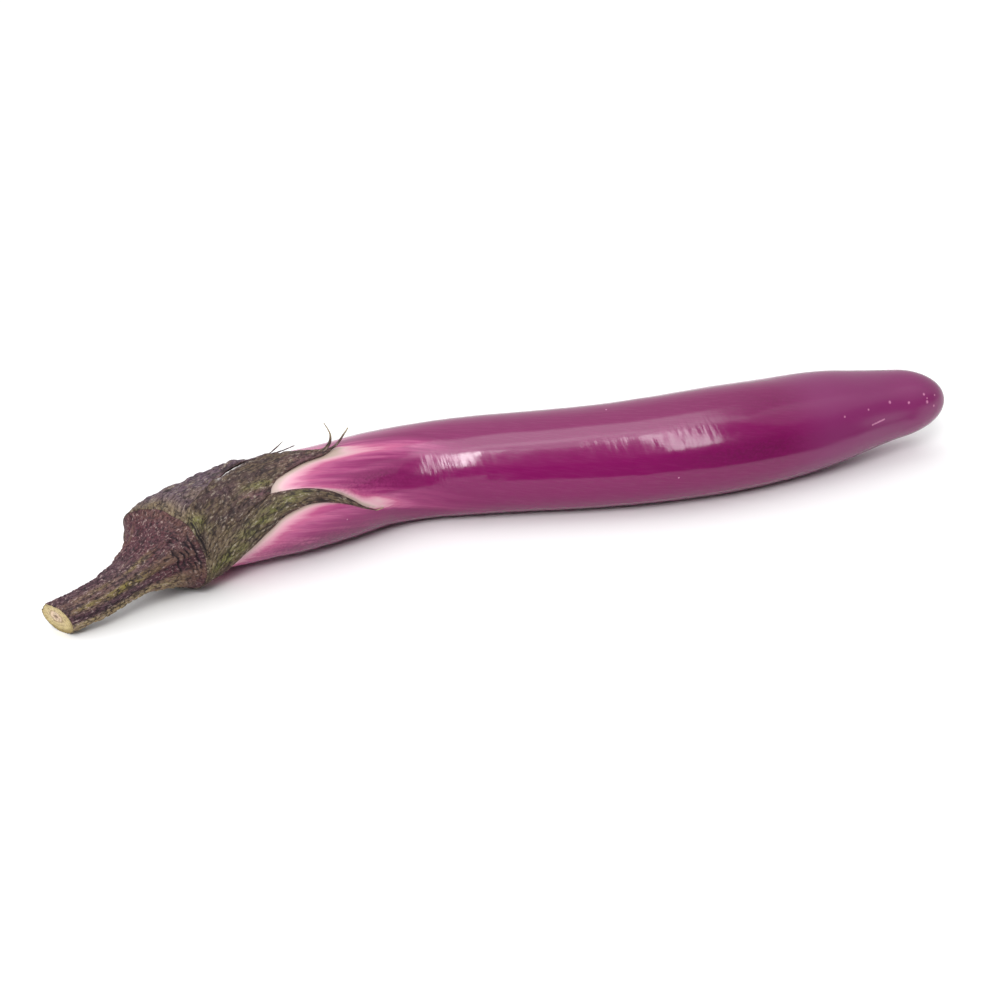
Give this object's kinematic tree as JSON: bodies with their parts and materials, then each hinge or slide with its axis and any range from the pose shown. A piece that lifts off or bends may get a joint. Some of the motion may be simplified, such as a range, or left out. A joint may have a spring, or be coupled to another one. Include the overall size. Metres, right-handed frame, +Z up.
{
  "type": "eggplant",
  "caption": "Long slim purple eggplant lying on its side, with a rough lobed calyx round its head and a short cut stem.",
  "frame": {"origin": "middle of the box round the whole eggplant, on the surface that it lies on", "axes": "+X from the stem towards the blossom end, along the eggplant's length; +Z up"},
  "size_m": [0.357, 0.066, 0.0471],
  "materials": {
    "skin": "smooth waxy magenta-purple skin, cream and pink beside the calyx",
    "calyx": "rough grainy dark purple-brown skin with green patches",
    "stem": "ridged purple-brown skin with green streaks and a pale cut end"
  },
  "bodies": {
    "root": {"fruit": "skin", "calyx": "calyx", "stem": "stem"}
  },
  "joints": []
}
